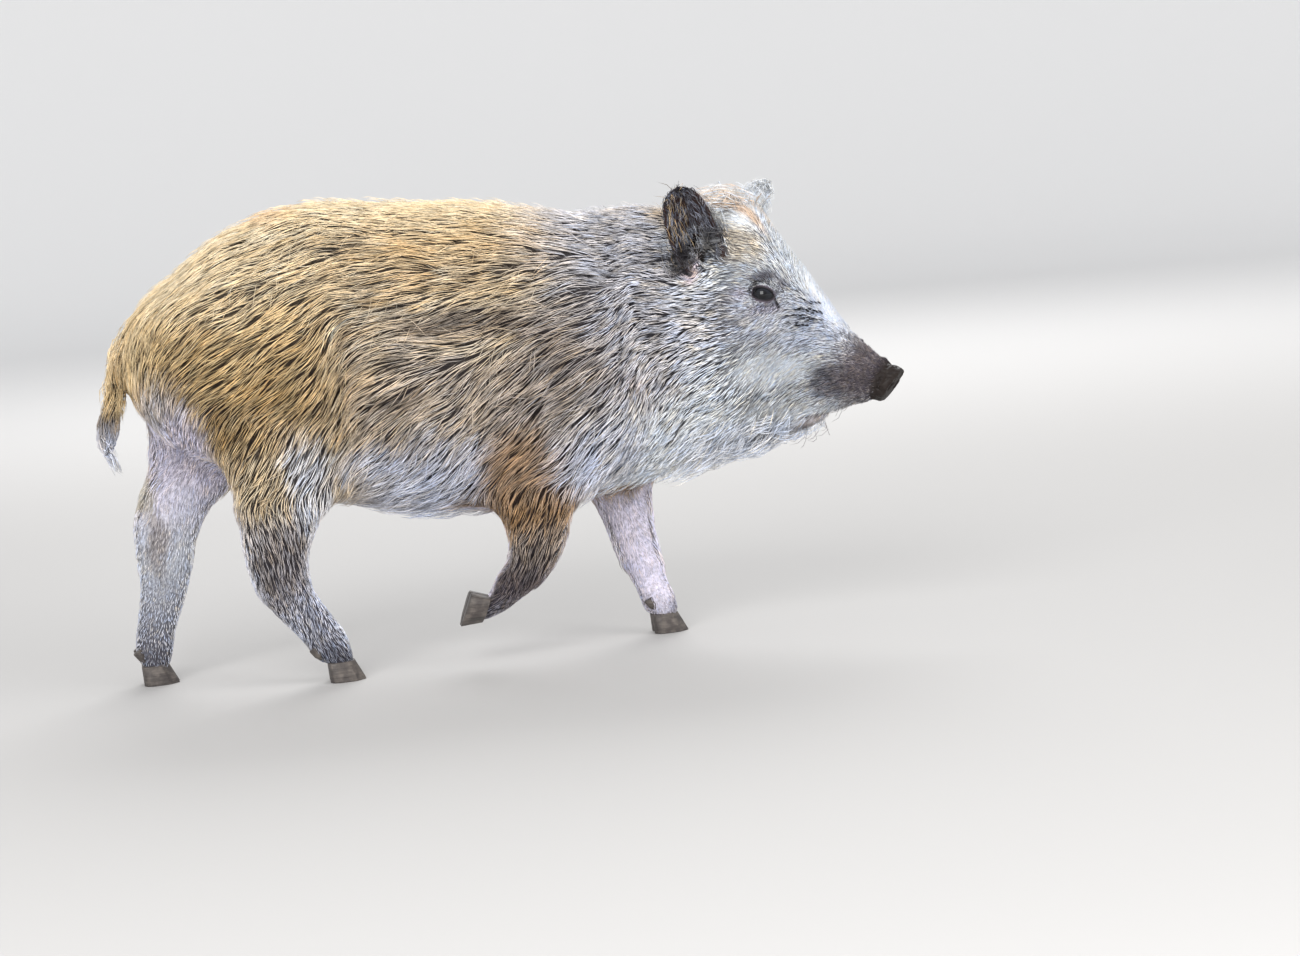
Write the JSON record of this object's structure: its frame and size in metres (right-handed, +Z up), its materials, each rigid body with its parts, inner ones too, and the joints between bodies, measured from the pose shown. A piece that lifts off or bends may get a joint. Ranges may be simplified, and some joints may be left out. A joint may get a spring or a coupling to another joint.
{
  "type": "wild boar",
  "caption": "Young wild boar, life size, walking with one forefoot lifted and its head turned a little aside. A still museum model of the whole animal in its coarse coat.",
  "frame": {"origin": "middle of the model's floor plan, at the level of the soles", "axes": "+X forward along the trunk, +Y to the animal's left, +Z up"},
  "size_m": [0.7882, 0.2266, 0.4671],
  "materials": {
    "back_coat": "coarse bristles",
    "neck_coat": "coarse bristles",
    "face_coat": "short bristles",
    "near_leg_coat": "short bristles",
    "far_leg_coat": "short bristles",
    "ear_coat": "haired skin",
    "tail_coat": "coarse bristles",
    "snout_skin": "damp bare skin",
    "horn": "worn horn",
    "eye": "wet and glossy"
  },
  "bodies": {
    "root": {"trunk": "back_coat", "rump": "back_coat", "neck": "neck_coat", "head": "face_coat", "jaw": "face_coat", "ear_right": "ear_coat", "ear_left": "ear_coat", "eye_right": "eye", "eye_left": "eye", "snout_disc": "snout_skin", "tail": "tail_coat", "foreleg_left_upper": "far_leg_coat", "foreleg_left_cannon": "far_leg_coat", "foreleg_left_pastern": "far_leg_coat", "foreleg_left_hoof_left": "horn", "foreleg_left_hoof_right": "horn", "foreleg_left_dewclaw_left": "horn", "foreleg_left_dewclaw_right": "horn", "foreleg_right_upper": "near_leg_coat", "foreleg_right_cannon": "near_leg_coat", "foreleg_right_pastern": "near_leg_coat", "foreleg_right_hoof_left": "horn", "foreleg_right_hoof_right": "horn", "foreleg_right_dewclaw_left": "horn", "foreleg_right_dewclaw_right": "horn", "hindleg_left_thigh": "far_leg_coat", "hindleg_left_shank": "far_leg_coat", "hindleg_left_cannon": "far_leg_coat", "hindleg_left_pastern": "far_leg_coat", "hindleg_left_hoof_left": "horn", "hindleg_left_hoof_right": "horn", "hindleg_left_dewclaw_left": "horn", "hindleg_left_dewclaw_right": "horn", "hindleg_right_thigh": "near_leg_coat", "hindleg_right_shank": "near_leg_coat", "hindleg_right_cannon": "near_leg_coat", "hindleg_right_pastern": "near_leg_coat", "hindleg_right_hoof_left": "horn", "hindleg_right_hoof_right": "horn", "hindleg_right_dewclaw_left": "horn", "hindleg_right_dewclaw_right": "horn"}
  },
  "joints": []
}
